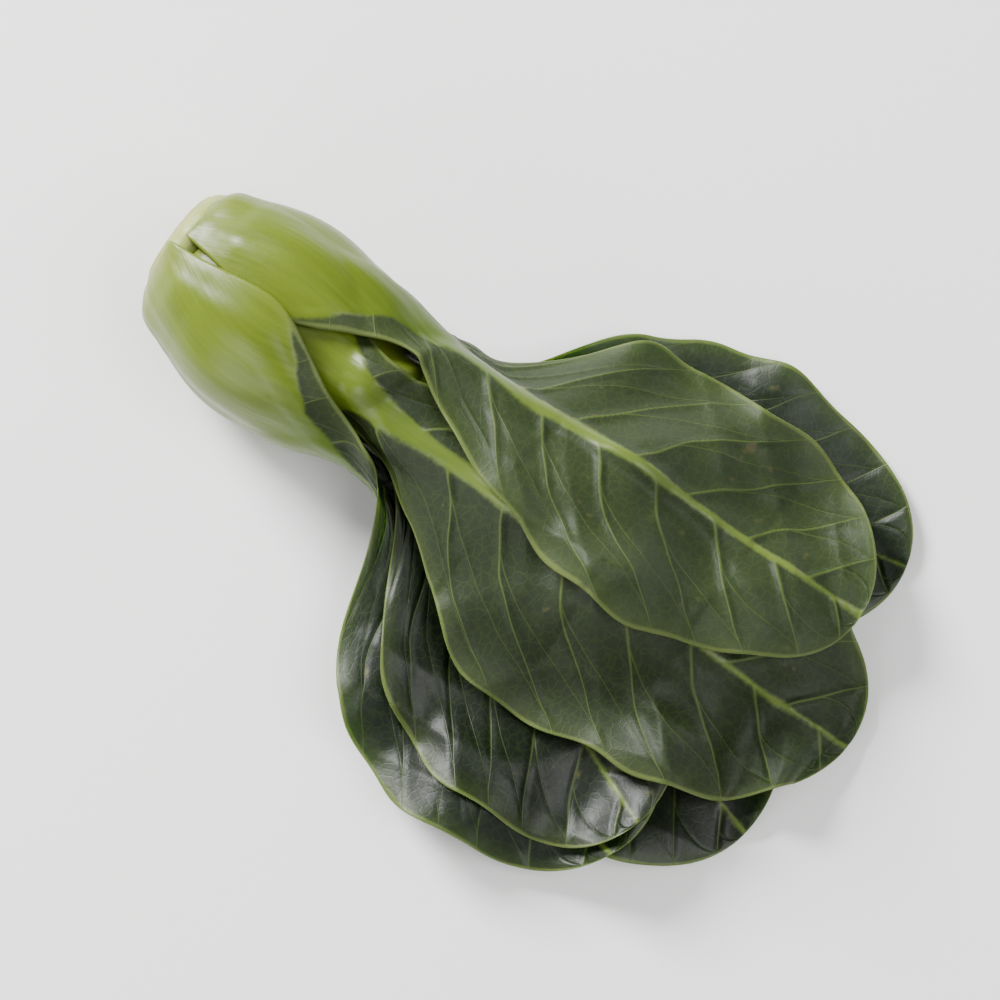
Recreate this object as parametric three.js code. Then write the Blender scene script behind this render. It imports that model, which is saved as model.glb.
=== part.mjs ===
// A head of baby pak choy, trimmed at the butt and laid on its side.
// Millimetres. +X runs from the cut butt to the leaf tips, +Z is up, and the head rests on z = 0.
//
// Leaves are numbered from the outside in and stand round the stem by the golden angle.
// Near the butt they nest as shells round the stem. Past the neck they lie on each other as a heap
// on the surface, the leaves of the under side falling open and those of the upper side closing over.
import * as THREE from "three";

// Driving dimensions
const HEAD_LENGTH = 118; // from the cut butt to the furthest leaf tip
const STEM_HEIGHT = 11.5; // of the head's axis above the surface it lies on
const LEAF_COUNT = 10;
const GOLDEN_ANGLE = 137.5; // degrees from one leaf to the next
const FIRST_LEAF_ANGLE = -75; // degrees from straight up, towards +Y
const FALLEN_LEAF = 0; // an upper leaf that has fallen open to the surface
const LOWEST_LEAF = 2;
const FAN_ANGLE = 27; // degrees that a leaf at the side leans out from the head's axis
const UPPER_FAN = 0.2; // share of that for the leaves that close over the top

// The outline of the stalks together
const BUTT_RADIUS = 10;
const BULB_RADIUS = 15.4;
const NECK_RADIUS = 13;

// The short stem that the leaves grow from
const STEM_LENGTH = 14;
const STEM_SIDES = 24;

// Stations along a leaf, measured along +X from the butt
const NECK = 41; // where the leaf stalks are narrowest
const BLEND_START = 32; // shells up to here
const BLEND_END = 66; // heap from here on
const BLADE_START = 29;

// Leaf stalks
const STALK_THICKNESS = 5.6; // of the outermost leaf, at the bulb
const BULB = 18; // station where the stalks are thickest
const STALK_HALF_ANGLE = 70; // degrees of the bulb that a stalk covers on each side of its middle
const NECK_HALF_ANGLE = 28;
const BULB_STEP = 0.87; // radius of each leaf's stalk in the bulb, as a share of the one outside it
const NECK_STEP = 0.93; // the same at the neck

// Leaf blades
const BLADE_THICKNESS = 0.7;
const RIB_THICKNESS = 1.5; // of the midrib where the blade begins
const RIB_HALF_WIDTH = 2.5;
const BLADE_HALF_WIDTH = 0.182; // of the leaf's length
const WIDEST_AT = 0.58; // of the blade's length

// Clearances
const SHELL_GAP = 0.75; // between nested stalks in the bulb
const NECK_GAP = 1.5; // between them at the neck, where they part
const BLADE_GAP = 0.65; // between heaped blades
const HEART_AIR = 2.5; // between the under and upper leaves where the blades begin
const FADE_ANGLE = 45; // degrees over which a shell settles past the margin of the one beneath
const FADE = 18; // the same for a blade, in millimetres

// Mesh of one leaf
const ROWS = 24;
const COLUMNS = [-1, -0.74, -0.42, -0.14, 0, 0.14, 0.42, 0.74, 1];

const STALK_COLOUR = new THREE.Color(0.4, 0.48, 0.12);
const BLADE_COLOUR = new THREE.Color(0.05, 0.11, 0.03);

const radians = THREE.MathUtils.degToRad;
const mix = THREE.MathUtils.lerp;
const ease = (from, to, value) => THREE.MathUtils.smoothstep(value, from, to);
const clamp = THREE.MathUtils.clamp;

// An even spread of values from -1 to 1, so that no two leaves are alike.
const GOLDEN_STEP = 0.618034;
function vary(index, channel) {
  const turns = (index + 1) * GOLDEN_STEP + channel * 0.2719;
  return 2 * (turns - Math.floor(turns)) - 1;
}

// The sizes and place of leaf number index.
function leafPlan(index) {
  const inward = index / (LEAF_COUNT - 1);
  const angle = radians(FIRST_LEAF_ANGLE + index * GOLDEN_ANGLE + 5 * vary(index, 7));
  const longest = 3; // the index at which the leaves are longest
  const share =
    index < longest
      ? 1 - 0.11 * (1 - index / longest) ** 2
      : 1 - 0.66 * ((index - longest) / (LEAF_COUNT - 1 - longest)) ** 1.6;
  const length = HEAD_LENGTH * (share - 0.02 * (1 + vary(index, 2)) * (1 - inward));
  const under = index === FALLEN_LEAF || Math.cos(angle) < 0;
  const fan = FAN_ANGLE * (under ? 1 : UPPER_FAN) * (1 - 1.5 * inward ** 2);
  const lean = fan * Math.sin(angle) + 3 * vary(index, 15) * (1 - inward);
  return {
    index,
    angle,
    length,
    under,
    start: 0.8 + 1.0 * index,
    slender: 1 - 0.082 * index,
    bladeHalfWidth: BLADE_HALF_WIDTH * length * (1 + 0.07 * vary(index, 4)),
    lean: radians(lean),
    bend: 0.0015 * vary(index, 5),
    cup: mix(3, 0.3, ease(0, 5, index)),
    crown: mix(1.4, 0.3, ease(1, 7, index)),
    wave: mix(1.9, 0.3, ease(0, 6, index)),
    wavePhase: Math.PI * vary(index, 6),
  };
}

// Radius of the stalks together, which swell from the butt to the bulb and narrow to the neck.
function outerRadius(s) {
  const swell = Math.sin((Math.PI / 2) * clamp(s / BULB, 0, 1));
  return mix(mix(BUTT_RADIUS, BULB_RADIUS, swell), NECK_RADIUS, ease(BULB, NECK, s));
}

// Radius at which the middle of a leaf's stalk stands from the head's axis.
function stalkRadius(leaf, s) {
  return 0.92 * outerRadius(s) * mix(BULB_STEP, NECK_STEP, ease(BULB, NECK, s)) ** leaf.index;
}

function stalkHalfWidth(leaf, s) {
  const rise = mix(60, STALK_HALF_ANGLE, ease(0, BULB, s));
  const degrees = mix(rise, NECK_HALF_ANGLE, ease(BULB, NECK, s));
  return radians(degrees) * stalkRadius(leaf, s);
}

// The blade is spoon-shaped: it widens slowly from the stalk and ends round.
function bladeHalfWidth(leaf, s) {
  const v = clamp((s - BLADE_START) / (leaf.length - BLADE_START), 0, 1);
  const shape =
    v < WIDEST_AT
      ? Math.sin((Math.PI / 2) * (v / WIDEST_AT)) ** 1.25
      : Math.sqrt(1 - ((v - WIDEST_AT) / (1 - WIDEST_AT)) ** 2.3);
  return leaf.bladeHalfWidth * shape;
}

function halfWidth(leaf, s) {
  const stalk = stalkHalfWidth(leaf, s) * (1 - ease(NECK + 4, NECK + 30, s));
  return (stalk ** 3 + bladeHalfWidth(leaf, s) ** 3) ** (1 / 3);
}

// Thickness in the middle of a leaf.
function middleThickness(leaf, s) {
  const full = STALK_THICKNESS * leaf.slender;
  const swell = mix(0.32, 1, Math.sin((Math.PI / 2) * clamp((s - leaf.start) / BULB, 0, 1)));
  const stalk = full * swell * mix(1, 0.52, ease(BULB, NECK, s));
  const rib = mix(RIB_THICKNESS * leaf.slender, 0.15, ease(BLEND_END - 8, leaf.length, s));
  return mix(stalk, BLADE_THICKNESS + rib, ease(NECK - 4, BLEND_END - 4, s));
}

// Share of the middle's extra thickness at a distance n from it.
function hump(leaf, s, n, spread) {
  const flat = ease(NECK - 6, BLEND_END - 6, s);
  const q = Math.abs(n) / mix(halfWidth(leaf, s), RIB_HALF_WIDTH * spread, flat);
  return q < 1 ? (1 - q * q) ** 1.3 : 0;
}

function thickness(leaf, s, n) {
  return mix(BLADE_THICKNESS, middleThickness(leaf, s), hump(leaf, s, n, 1));
}

// Angle round the axis that a leaf covers on each side of its middle.
function shellHalfAngle(leaf, s) {
  return halfWidth(leaf, s) / stalkRadius(leaf, s);
}

function shellGap(s) {
  return mix(SHELL_GAP, NECK_GAP, ease(BULB, NECK, s));
}

// How far a leaf pushes out the leaves that lie over it in the bulb.
function shellPush(leaf, s, angle) {
  let turn = angle - leaf.angle;
  turn -= 2 * Math.PI * Math.round(turn / (2 * Math.PI));
  const margin = shellHalfAngle(leaf, s);
  const t = clamp(Math.abs(turn) / margin, 0, 1);
  const past = 1 - ease(0, radians(FADE_ANGLE), Math.abs(turn) - margin);
  const present = ease(leaf.start - 6, leaf.start, s) * (1 - ease(leaf.length, leaf.length + 10, s));
  return (thickness(leaf, s, t * halfWidth(leaf, s)) + shellGap(s)) * past * present;
}

// Radius of what lies inside every leaf, the stem and then the air of the heart: what the leaves,
// averaged all round, leave of the outline.
const ROUND = Array.from({ length: 24 }, (_, step) => (step * Math.PI) / 12);
function coreRadius(s) {
  let pushed = 0;
  for (const angle of ROUND) {
    for (const leaf of leaves) pushed += shellPush(leaf, s, angle) / ROUND.length;
  }
  return outerRadius(s) - pushed;
}

function stemRadius(s) {
  return (coreRadius(s) - SHELL_GAP) * Math.sqrt(1 - (s / (STEM_LENGTH + 0.8)) ** 4);
}

// The line of a leaf's midrib in the heap, seen from above.
function planLine(leaf) {
  return {
    out: stalkRadius(leaf, NECK) * Math.sin(leaf.angle),
    c: Math.cos(leaf.lean),
    s: Math.sin(leaf.lean),
  };
}

function midribOffset(leaf, s) {
  return leaf.bend * Math.max(0, s - NECK) ** 2;
}

// Height that a blade's own form adds over what it lies on: cup or crown, and waved margin.
// The distance n runs to the left of the midrib, seen from above.
function bladeForm(leaf, s, n) {
  const grown = ease(NECK, BLEND_END + 6, s);
  const u = clamp(n / leaf.bladeHalfWidth, -1, 1);
  const inset = halfWidth(leaf, s) - Math.sqrt(n * n + 1);
  const edge = 1 - ease(-1, 0.7 * leaf.bladeHalfWidth, inset);
  const dish = leaf.under ? leaf.cup * u * u : leaf.crown * (1 - u * u);
  const turn = s * 0.27 + leaf.wavePhase + (1.9 * n) / Math.sqrt(n * n + 16);
  return (dish + leaf.wave * edge * (1 + Math.sin(turn))) * grown;
}

// How far a leaf pushes up the leaves that lie over it in the heap.
function heapPush(leaf, x, y) {
  const line = planLine(leaf);
  const s = NECK + (x - NECK) * line.c + (y - line.out) * line.s;
  const held = clamp(s, leaf.start, leaf.length);
  const n = (y - line.out) * line.c - (x - NECK) * line.s - midribOffset(leaf, s);
  const width = halfWidth(leaf, held);
  const near = clamp(n, -width, width);
  const past = Math.hypot(n - near, 0.6 * Math.max(0, s - leaf.length));
  const rib = leaf.under ? 1 : hump(leaf, held, near, 2.6);
  const rise = mix(BLADE_THICKNESS, middleThickness(leaf, held), rib) + bladeForm(leaf, held, near);
  return (rise + BLADE_GAP) * (1 - ease(0, FADE, past));
}

const leaves = Array.from({ length: LEAF_COUNT }, (_, index) => leafPlan(index));

// The heap from the surface up: the lowest leaf, the other under leaves from the outside in,
// then the upper leaves from the inside out.
const lowest = leaves[LOWEST_LEAF];
const heap = [
  lowest,
  ...leaves.filter((leaf) => leaf.under && leaf !== lowest),
  ...leaves.filter((leaf) => !leaf.under).reverse(),
];

function shellPoint(leaf, s, t) {
  const angle = leaf.angle + t * shellHalfAngle(leaf, s);
  let inner = coreRadius(s);
  for (const other of leaves.slice(leaf.index + 1)) inner += shellPush(other, s, angle);
  const outer = inner + thickness(leaf, s, t * halfWidth(leaf, s));
  const at = (radius) =>
    new THREE.Vector3(s, radius * Math.sin(angle), STEM_HEIGHT + radius * Math.cos(angle));
  return { inner: at(inner), outer: at(outer) };
}

function heapPoint(leaf, s, t) {
  const line = planLine(leaf);
  const along = s - NECK;
  const n = (leaf.under ? -t : t) * halfWidth(leaf, s);
  const across = midribOffset(leaf, s) + n;
  const x = NECK + along * line.c - across * line.s;
  const y = line.out + along * line.s + across * line.c;
  let low = bladeForm(leaf, s, n);
  for (const other of heap.slice(0, heap.indexOf(leaf))) low += heapPush(other, x, y);
  const here = thickness(leaf, s, n);
  if (leaf.under) low += middleThickness(leaf, s) - here;
  else low += HEART_AIR * (1 - ease(NECK, 0.8 * HEAD_LENGTH, s));
  const lower = new THREE.Vector3(x, y, low);
  const upper = new THREE.Vector3(x, y, low + here);
  return leaf.under ? { inner: upper, outer: lower } : { inner: lower, outer: upper };
}

function leafPoint(leaf, s, t) {
  const opened = ease(BLEND_START, BLEND_END, s);
  const shell = shellPoint(leaf, s, t);
  const spread = heapPoint(leaf, s, t);
  const inner = shell.inner.lerp(spread.inner, opened);
  const outer = shell.outer.lerp(spread.outer, opened);
  inner.z = Math.max(inner.z, 0);
  outer.z = Math.max(outer.z, 0);
  return { inner, outer };
}

// Rows stand closer together towards the round tip.
function rowStation(leaf, row) {
  const q = row / ROWS;
  return mix(leaf.start, leaf.length - 0.25, 1.15 * q - 0.15 * q ** 6);
}

// A closed mesh of one leaf: its inner and outer faces, and the rim that joins them.
function leafGeometry(leaf) {
  const across = COLUMNS.length;
  const positions = [];
  for (const side of ["inner", "outer"]) {
    for (let row = 0; row <= ROWS; row++) {
      for (const t of COLUMNS) {
        positions.push(...leafPoint(leaf, rowStation(leaf, row), t)[side].toArray());
      }
    }
  }
  const layer = (ROWS + 1) * across;
  const inner = (row, column) => row * across + column;
  const outer = (row, column) => layer + inner(row, column);
  const triangles = [];
  const quad = (a, b, c, d) => triangles.push(a, b, c, a, c, d);
  for (let row = 0; row < ROWS; row++) {
    for (let column = 0; column < across - 1; column++) {
      quad(outer(row, column), outer(row + 1, column), outer(row + 1, column + 1), outer(row, column + 1));
      triangles.push(inner(row, column), inner(row + 1, column + 1), inner(row + 1, column));
      triangles.push(inner(row, column), inner(row, column + 1), inner(row + 1, column + 1));
    }
  }
  for (let row = 0; row < ROWS; row++) {
    const last = across - 1;
    quad(outer(row, 0), inner(row, 0), inner(row + 1, 0), outer(row + 1, 0));
    quad(inner(row, last), outer(row, last), outer(row + 1, last), inner(row + 1, last));
  }
  for (let column = 0; column < across - 1; column++) {
    quad(inner(0, column), outer(0, column), outer(0, column + 1), inner(0, column + 1));
    quad(outer(ROWS, column), inner(ROWS, column), inner(ROWS, column + 1), outer(ROWS, column + 1));
  }
  return new THREE.BufferGeometry()
    .setAttribute("position", new THREE.Float32BufferAttribute(positions, 3))
    .setIndex(triangles);
}

function stemGeometry() {
  const profile = [new THREE.Vector2(0, 0)];
  for (let station = 0; station <= STEM_LENGTH; station += 2) {
    profile.push(new THREE.Vector2(stemRadius(station), station));
  }
  profile.push(new THREE.Vector2(0, STEM_LENGTH + 0.8));
  return new THREE.LatheGeometry(profile, STEM_SIDES);
}

function namedMesh(name, geometry, colour) {
  const material = new THREE.MeshStandardMaterial({ color: colour, roughness: 0.45, metalness: 0 });
  geometry.computeVertexNormals();
  const mesh = new THREE.Mesh(geometry, material);
  mesh.name = name;
  return mesh;
}

const head = new THREE.Group();
const stem = namedMesh("stem", stemGeometry(), STALK_COLOUR);
stem.rotation.z = -Math.PI / 2;
stem.position.z = STEM_HEIGHT;
head.add(stem);
for (const leaf of leaves) {
  const name = "leaf_" + String(leaf.index + 1).padStart(2, "0");
  head.add(namedMesh(name, leafGeometry(leaf), BLADE_COLOUR));
}

// The origin is the middle of the head's outline on the surface.
const middle = new THREE.Box3().setFromObject(head, true).getCenter(new THREE.Vector3());
head.position.set(-middle.x, -middle.y, 0);

export default head;
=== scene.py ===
"""A trimmed head of baby pak choy lying on its side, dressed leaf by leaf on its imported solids."""
import math

import bpy
import numpy as np
from bpy.props import FloatProperty, FloatVectorProperty, IntProperty, PointerProperty
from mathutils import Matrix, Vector


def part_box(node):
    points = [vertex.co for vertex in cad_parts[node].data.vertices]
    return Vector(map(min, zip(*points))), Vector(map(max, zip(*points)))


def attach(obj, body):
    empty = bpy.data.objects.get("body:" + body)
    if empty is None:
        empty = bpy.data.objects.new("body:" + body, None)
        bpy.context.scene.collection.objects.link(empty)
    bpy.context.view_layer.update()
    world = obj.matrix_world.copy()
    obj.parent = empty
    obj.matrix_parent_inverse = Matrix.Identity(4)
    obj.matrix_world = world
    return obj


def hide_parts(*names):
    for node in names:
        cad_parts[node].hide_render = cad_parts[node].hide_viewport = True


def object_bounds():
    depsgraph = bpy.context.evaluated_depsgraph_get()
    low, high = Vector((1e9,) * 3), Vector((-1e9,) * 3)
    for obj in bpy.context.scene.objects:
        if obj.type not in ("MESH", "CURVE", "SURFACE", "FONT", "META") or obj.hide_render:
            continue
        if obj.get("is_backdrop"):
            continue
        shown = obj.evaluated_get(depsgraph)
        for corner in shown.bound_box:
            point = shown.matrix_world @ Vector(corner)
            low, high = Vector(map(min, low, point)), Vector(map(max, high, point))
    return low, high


bl_info = {
    "name": "Baby Pak Choy Head",
    "version": (1, 0, 0),
    "blender": (4, 5, 0),
    "location": "3D View > Sidebar > Pak Choy",
    "description": "Dresses a trimmed head of baby pak choy, leaf by leaf, on its packed solids",
    "category": "Add Mesh",
}

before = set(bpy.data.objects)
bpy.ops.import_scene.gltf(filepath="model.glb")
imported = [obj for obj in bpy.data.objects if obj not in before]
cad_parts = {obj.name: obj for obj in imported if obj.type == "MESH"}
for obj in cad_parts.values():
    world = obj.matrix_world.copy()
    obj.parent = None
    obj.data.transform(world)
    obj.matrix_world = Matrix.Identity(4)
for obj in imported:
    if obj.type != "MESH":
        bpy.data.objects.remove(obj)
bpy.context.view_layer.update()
MM = 0.001

# Driving dimensions of the head in millimetres and degrees, the same as those of its solids
HEAD_LENGTH = 118
STEM_HEIGHT = 11.5
LEAF_COUNT = 10
GOLDEN_ANGLE = 137.5
FIRST_LEAF_ANGLE = -75
FALLEN_LEAF = 0
LOWEST_LEAF = 2
LONGEST_LEAF = 3
FAN_ANGLE = 27
UPPER_FAN = 0.2
BUTT_RADIUS = 10
BULB_RADIUS = 15.4
NECK_RADIUS = 13
STEM_LENGTH = 14
NECK = 41
BLEND_START = 32
BLEND_END = 66
BLADE_START = 29
STALK_THICKNESS = 5.6
BULB = 18
BASE_HALF_ANGLE = 60
STALK_HALF_ANGLE = 70
NECK_HALF_ANGLE = 28
STALK_CURVE = 0.92
BULB_STEP = 0.87
NECK_STEP = 0.93
BASE_THICKNESS = 0.32
NECK_THICKNESS = 0.52
BLADE_THICKNESS = 0.7
RIB_THICKNESS = 1.5
RIB_TIP = 0.15
RIB_HALF_WIDTH = 2.5
BLADE_HALF_WIDTH = 0.182
WIDEST_AT = 0.58
WIDENING = 1.25
ROUNDING = 2.3
SHELL_GAP = 0.75
NECK_GAP = 1.5
BLADE_GAP = 0.65
HEART_AIR = 2.5
FADE_ANGLE = 45
FADE = 18

# How the leaves differ from the outside in, and from each other
GOLDEN_STEP = 0.618034
OUTER_SHORTENING = 0.11
INNER_SHORTENING = 0.66
LENGTH_JITTER = 0.02
TURN_JITTER = 5
LEAN_JITTER = 3
WIDTH_JITTER = 0.07
BEND_JITTER = 0.0015
FIRST_START = 0.8
START_STEP = 1.0
SLENDER_STEP = 0.082
CUP = 3
CROWN = 1.4
WAVE = 1.9
INNER_FORM = 0.3
WAVE_PITCH = 0.27

# Waves, folds and creases that the heap's leaves share, with their turns per millimetre along and across
SWELL = 0.9
SWELL_PITCH = (0.11, 0.13)
SLANT = 0.6
SLANT_PITCH = (0.21, -0.17)
BENDING = 1.2
BENDING_PITCH = (0.09, 0.19)
FOLD = 1.1
FOLD_PITCH = (0.21, 0.12)
CREASE = 0.8
CREASE_PITCH = (-0.14, 0.33)
SINKING = 0.35

# Points on a margin's round, and the length over which a leaf's base rounds off
RIM = 3
BASE_ROUND = 2.6
# How much closer the mesh lies near the tip and the margins of a blade
TIP_CROWDING = 0.2
MARGIN_CROWDING = 0.35
# How far a blade's outline wavers, as a share of its half width, and how high its margin is ruffled
OUTLINE_WAVER = 0.05
OUTLINE_PITCH = 0.17
RUFFLE = 0.35
RUFFLE_PITCH = 0.62
# Half widths of the pale midrib at its start and at the tip, and where the whole pale stalk narrows to it
MIDRIB = 1.25
MIDRIB_FOOT = 0.3
MIDRIB_TIP = 0.2
PALE_START = BLADE_START - 11
PALE_END = BLEND_START + 14

# The stem and its cut face. The stem spreads at the butt to carry the outer leaves
STEM_SIDES = 160
CUT_RINGS = 30
SIDE_RINGS = 40
BEVEL_RINGS = 4
BUTT_FACE = 7.6
SPREAD = 1.4
SPREAD_LENGTH = 2.5
STEM_TIP = STEM_LENGTH + 0.8
CUT_BEVEL = 0.35
CUT_SINK = 0.3
CUT_RIPPLE = 0.07
STEM_RIDGE = 0.012
STEM_GROOVE = 0.006
# The ring of strand ends: its radius as a share of the cut's, its station, and how much each end varies
STRAND_RING = 0.62
STRAND_STATION = 0.12
STRAND_SCATTER = (0.82, 1.12)
STRAND_SIZES = (0.55, 1.25)
STRAND_FLATNESS = 0.35

# Side veins: how far they lean towards the tip, bend and wander, and where they fork on their way out
VEIN_LEAN = 0.7
VEIN_BEND = 20.0
VEIN_WANDER = 0.007
VEIN_FORK = (0.25, 0.92)

# Waves per metre of the noises in the surfaces and their colours
DRIFT_SCALE = 90.0
FINE_SCALE = 1400.0
STREAK_SCALE = 1500.0
BROAD_STREAK_SCALE = 420.0
NET_SCALE = 760.0
SPOT_SCALE = 330.0
DENT_SCALE = 120.0
WANDER_SCALE = 45.0
# How little a stalk's streaks change along it beside across it, and how far its line to the blade strays
STREAK_STRETCH = 0.06
EDGE_DRIFT = 0.003
EDGE_FRAY = 0.0014
EDGE_FINE_FRAY = 0.0006
# How light each leaf's blade is among the others
AGE_LEVEL = 0.98
AGE_SPREAD = 0.3

# The lamps: name, place to the right, ahead and above the head in metres, size and power
LAMPS = (
    ("key", -0.55, 0.6, 0.5, 0.4, 26),
    ("fill", 0.5, -0.2, 0.8, 0.7, 7),
    ("low", -0.5, -0.5, 0.3, 0.4, 2.5),
)
WORLD_LIGHT = 0.42
FLOOR_REACH = 1.6
LENS = 160


def mix(first, second, share):
    return first + (second - first) * share


def ease(start, end, value):
    """Rises smoothly from 0 to 1 between two values."""
    share = np.clip((value - start) / (end - start), 0, 1)
    return share * share * (3 - 2 * share)


def vary(index, channel):
    """An even spread of values from -1 to 1, so that no two leaves are alike."""
    turns = (index + 1) * GOLDEN_STEP + channel * 0.2719
    return 2 * (turns - math.floor(turns)) - 1


class Leaf:
    """The sizes and place of one leaf, numbered from the outside in."""

    def __init__(self, index):
        inward = index / (LEAF_COUNT - 1)
        if index < LONGEST_LEAF:
            share = 1 - OUTER_SHORTENING * (1 - index / LONGEST_LEAF) ** 2
        else:
            inner = (index - LONGEST_LEAF) / (LEAF_COUNT - 1 - LONGEST_LEAF)
            share = 1 - INNER_SHORTENING * inner**1.6
        self.index = index
        self.angle = math.radians(FIRST_LEAF_ANGLE + index * GOLDEN_ANGLE + TURN_JITTER * vary(index, 7))
        self.length = HEAD_LENGTH * (share - LENGTH_JITTER * (1 + vary(index, 2)) * (1 - inward))
        self.under = index == FALLEN_LEAF or math.cos(self.angle) < 0
        fan = FAN_ANGLE * (1 if self.under else UPPER_FAN) * (1 - 1.5 * inward**2)
        lean_jitter = LEAN_JITTER * vary(index, 15) * (1 - inward)
        self.lean = math.radians(fan * math.sin(self.angle) + lean_jitter)
        self.start = FIRST_START + START_STEP * index
        self.slender = 1 - SLENDER_STEP * index
        self.blade_half_width = BLADE_HALF_WIDTH * self.length * (1 + WIDTH_JITTER * vary(index, 4))
        self.bend = BEND_JITTER * vary(index, 5)
        self.cup = mix(CUP, INNER_FORM, ease(0, 5, index))
        self.crown = mix(CROWN, INNER_FORM, ease(1, 7, index))
        self.wave = mix(WAVE, INNER_FORM, ease(0, 6, index))
        self.wave_phase = math.pi * vary(index, 6)
        self.name = f"leaf_{index + 1:02d}"

    def stalk_radius(self, s):
        """Radius of the curve that the stalk follows round the head's axis."""
        step = mix(BULB_STEP, NECK_STEP, ease(BULB, NECK, s))
        return STALK_CURVE * outer_radius(s) * step**self.index

    def half_width(self, s):
        """Half width over the face, of the stalk first and then of the blade."""
        rise = mix(BASE_HALF_ANGLE, STALK_HALF_ANGLE, ease(0, BULB, s))
        degrees = mix(rise, NECK_HALF_ANGLE, ease(BULB, NECK, s))
        stalk = np.radians(degrees) * self.stalk_radius(s) * (1 - ease(NECK + 4, NECK + 30, s))
        v = np.clip((s - BLADE_START) / (self.length - BLADE_START), 0, 1)
        widening = np.sin(math.pi / 2 * np.minimum(v / WIDEST_AT, 1)) ** WIDENING
        rounding = np.sqrt(1 - np.clip((v - WIDEST_AT) / (1 - WIDEST_AT), 0, 1) ** ROUNDING)
        blade = self.blade_half_width * np.where(v < WIDEST_AT, widening, rounding)
        return np.cbrt(stalk**3 + blade**3)

    def middle_thickness(self, s):
        """Thickness of the stalk and of the midrib that it runs into."""
        full = STALK_THICKNESS * self.slender
        grown_bulb = np.sin(math.pi / 2 * np.clip((s - self.start) / BULB, 0, 1))
        stalk = full * mix(BASE_THICKNESS, 1, grown_bulb) * mix(1, NECK_THICKNESS, ease(BULB, NECK, s))
        rib = mix(RIB_THICKNESS * self.slender, RIB_TIP, ease(BLEND_END - 8, self.length, s))
        return mix(stalk, BLADE_THICKNESS + rib, ease(NECK - 4, BLEND_END - 4, s))

    def hump(self, s, n, spread):
        """Share of the middle's extra thickness at a distance n from it."""
        flat = ease(NECK - 6, BLEND_END - 6, s)
        q = np.abs(n) / mix(self.half_width(s), RIB_HALF_WIDTH * spread, flat)
        return np.maximum(1 - q * q, 0) ** 1.3

    def thickness(self, s, n):
        return mix(BLADE_THICKNESS, self.middle_thickness(s), self.hump(s, n, 1))

    def shell_half_angle(self, s):
        return self.half_width(s) / self.stalk_radius(s)

    def shell_push(self, s, angle):
        """How far this leaf pushes out the leaves that lie over it in the bulb."""
        turn = angle - self.angle
        turn = np.abs(turn - 2 * math.pi * np.round(turn / (2 * math.pi)))
        margin = self.shell_half_angle(s)
        t = np.clip(turn / np.maximum(margin, 1e-9), 0, 1)
        past = 1 - ease(0, math.radians(FADE_ANGLE), turn - margin)
        present = ease(self.start - 6, self.start, s) * (1 - ease(self.length, self.length + 10, s))
        gap = mix(SHELL_GAP, NECK_GAP, ease(BULB, NECK, s))
        return (self.thickness(s, t * self.half_width(s)) + gap) * past * present

    def plan_line(self):
        """Where the midrib lies in the heap, seen from above."""
        out = self.stalk_radius(NECK) * math.sin(self.angle)
        return out, math.cos(self.lean), math.sin(self.lean)

    def midrib_offset(self, s):
        """How far the midrib has bent sideways past the neck."""
        return self.bend * np.maximum(0, s - NECK) ** 2

    def blade_form(self, s, n):
        """Height that the blade's cup or crown and its waved margin add over what it lies on."""
        grown = ease(NECK, BLEND_END + 6, s)
        u = np.clip(n / self.blade_half_width, -1, 1)
        inset = self.half_width(s) - np.sqrt(n * n + 1)
        edge = 1 - ease(-1, 0.7 * self.blade_half_width, inset)
        dish = self.cup * u * u if self.under else self.crown * (1 - u * u)
        turn = s * WAVE_PITCH + self.wave_phase + 1.9 * n / np.sqrt(n * n + 16)
        return (dish + self.wave * edge * (1 + np.sin(turn))) * grown

    def heap_push(self, x, y):
        """How far this leaf pushes up the leaves that lie over it in the heap."""
        out, c, slope = self.plan_line()
        s = NECK + (x - NECK) * c + (y - out) * slope
        held = np.clip(s, self.start, self.length)
        n = (y - out) * c - (x - NECK) * slope - self.midrib_offset(s)
        width = self.half_width(held)
        near = np.clip(n, -width, width)
        past = np.hypot(n - near, 0.6 * np.maximum(0, s - self.length))
        rib = 1 if self.under else self.hump(held, near, 2.6)
        rise = mix(BLADE_THICKNESS, self.middle_thickness(held), rib) + self.blade_form(held, near)
        return (rise + BLADE_GAP) * (1 - ease(0, FADE, past))


def outer_radius(s):
    """Radius of the stalks together, which swell to the bulb and narrow to the neck."""
    swell = np.sin(math.pi / 2 * np.clip(s / BULB, 0, 1))
    return mix(mix(BUTT_RADIUS, BULB_RADIUS, swell), NECK_RADIUS, ease(BULB, NECK, s))


LEAVES = [Leaf(index) for index in range(LEAF_COUNT)]
# The order in which the leaves lie on each other, from the floor up
HEAP = [LEAVES[LOWEST_LEAF]]
HEAP += [leaf for leaf in LEAVES if leaf.under and leaf.index != LOWEST_LEAF]
HEAP += [leaf for leaf in reversed(LEAVES) if not leaf.under]
# Angles at which the room inside the leaves is measured
ROUND = np.arange(24) * math.pi / 12


def core_radius(s):
    """Radius of what lies inside every leaf, for a column of stations."""
    pushed = sum(leaf.shell_push(s, ROUND[None, :]) for leaf in LEAVES)
    return outer_radius(s) - pushed.mean(axis=1, keepdims=True)


def shell_faces(leaf, s, t):
    """Inner and outer points of a leaf where it nests round the stem."""
    angle = leaf.angle + t * leaf.shell_half_angle(s)
    inner = np.broadcast_to(core_radius(s), angle.shape)
    inner = inner + sum(other.shell_push(s, angle) for other in LEAVES[leaf.index + 1:])
    outer = inner + leaf.thickness(s, t * leaf.half_width(s))

    def at(radius):
        along = np.broadcast_to(s, angle.shape)
        return np.stack([along, radius * np.sin(angle), STEM_HEIGHT + radius * np.cos(angle)], -1)

    return at(inner), at(outer)


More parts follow.
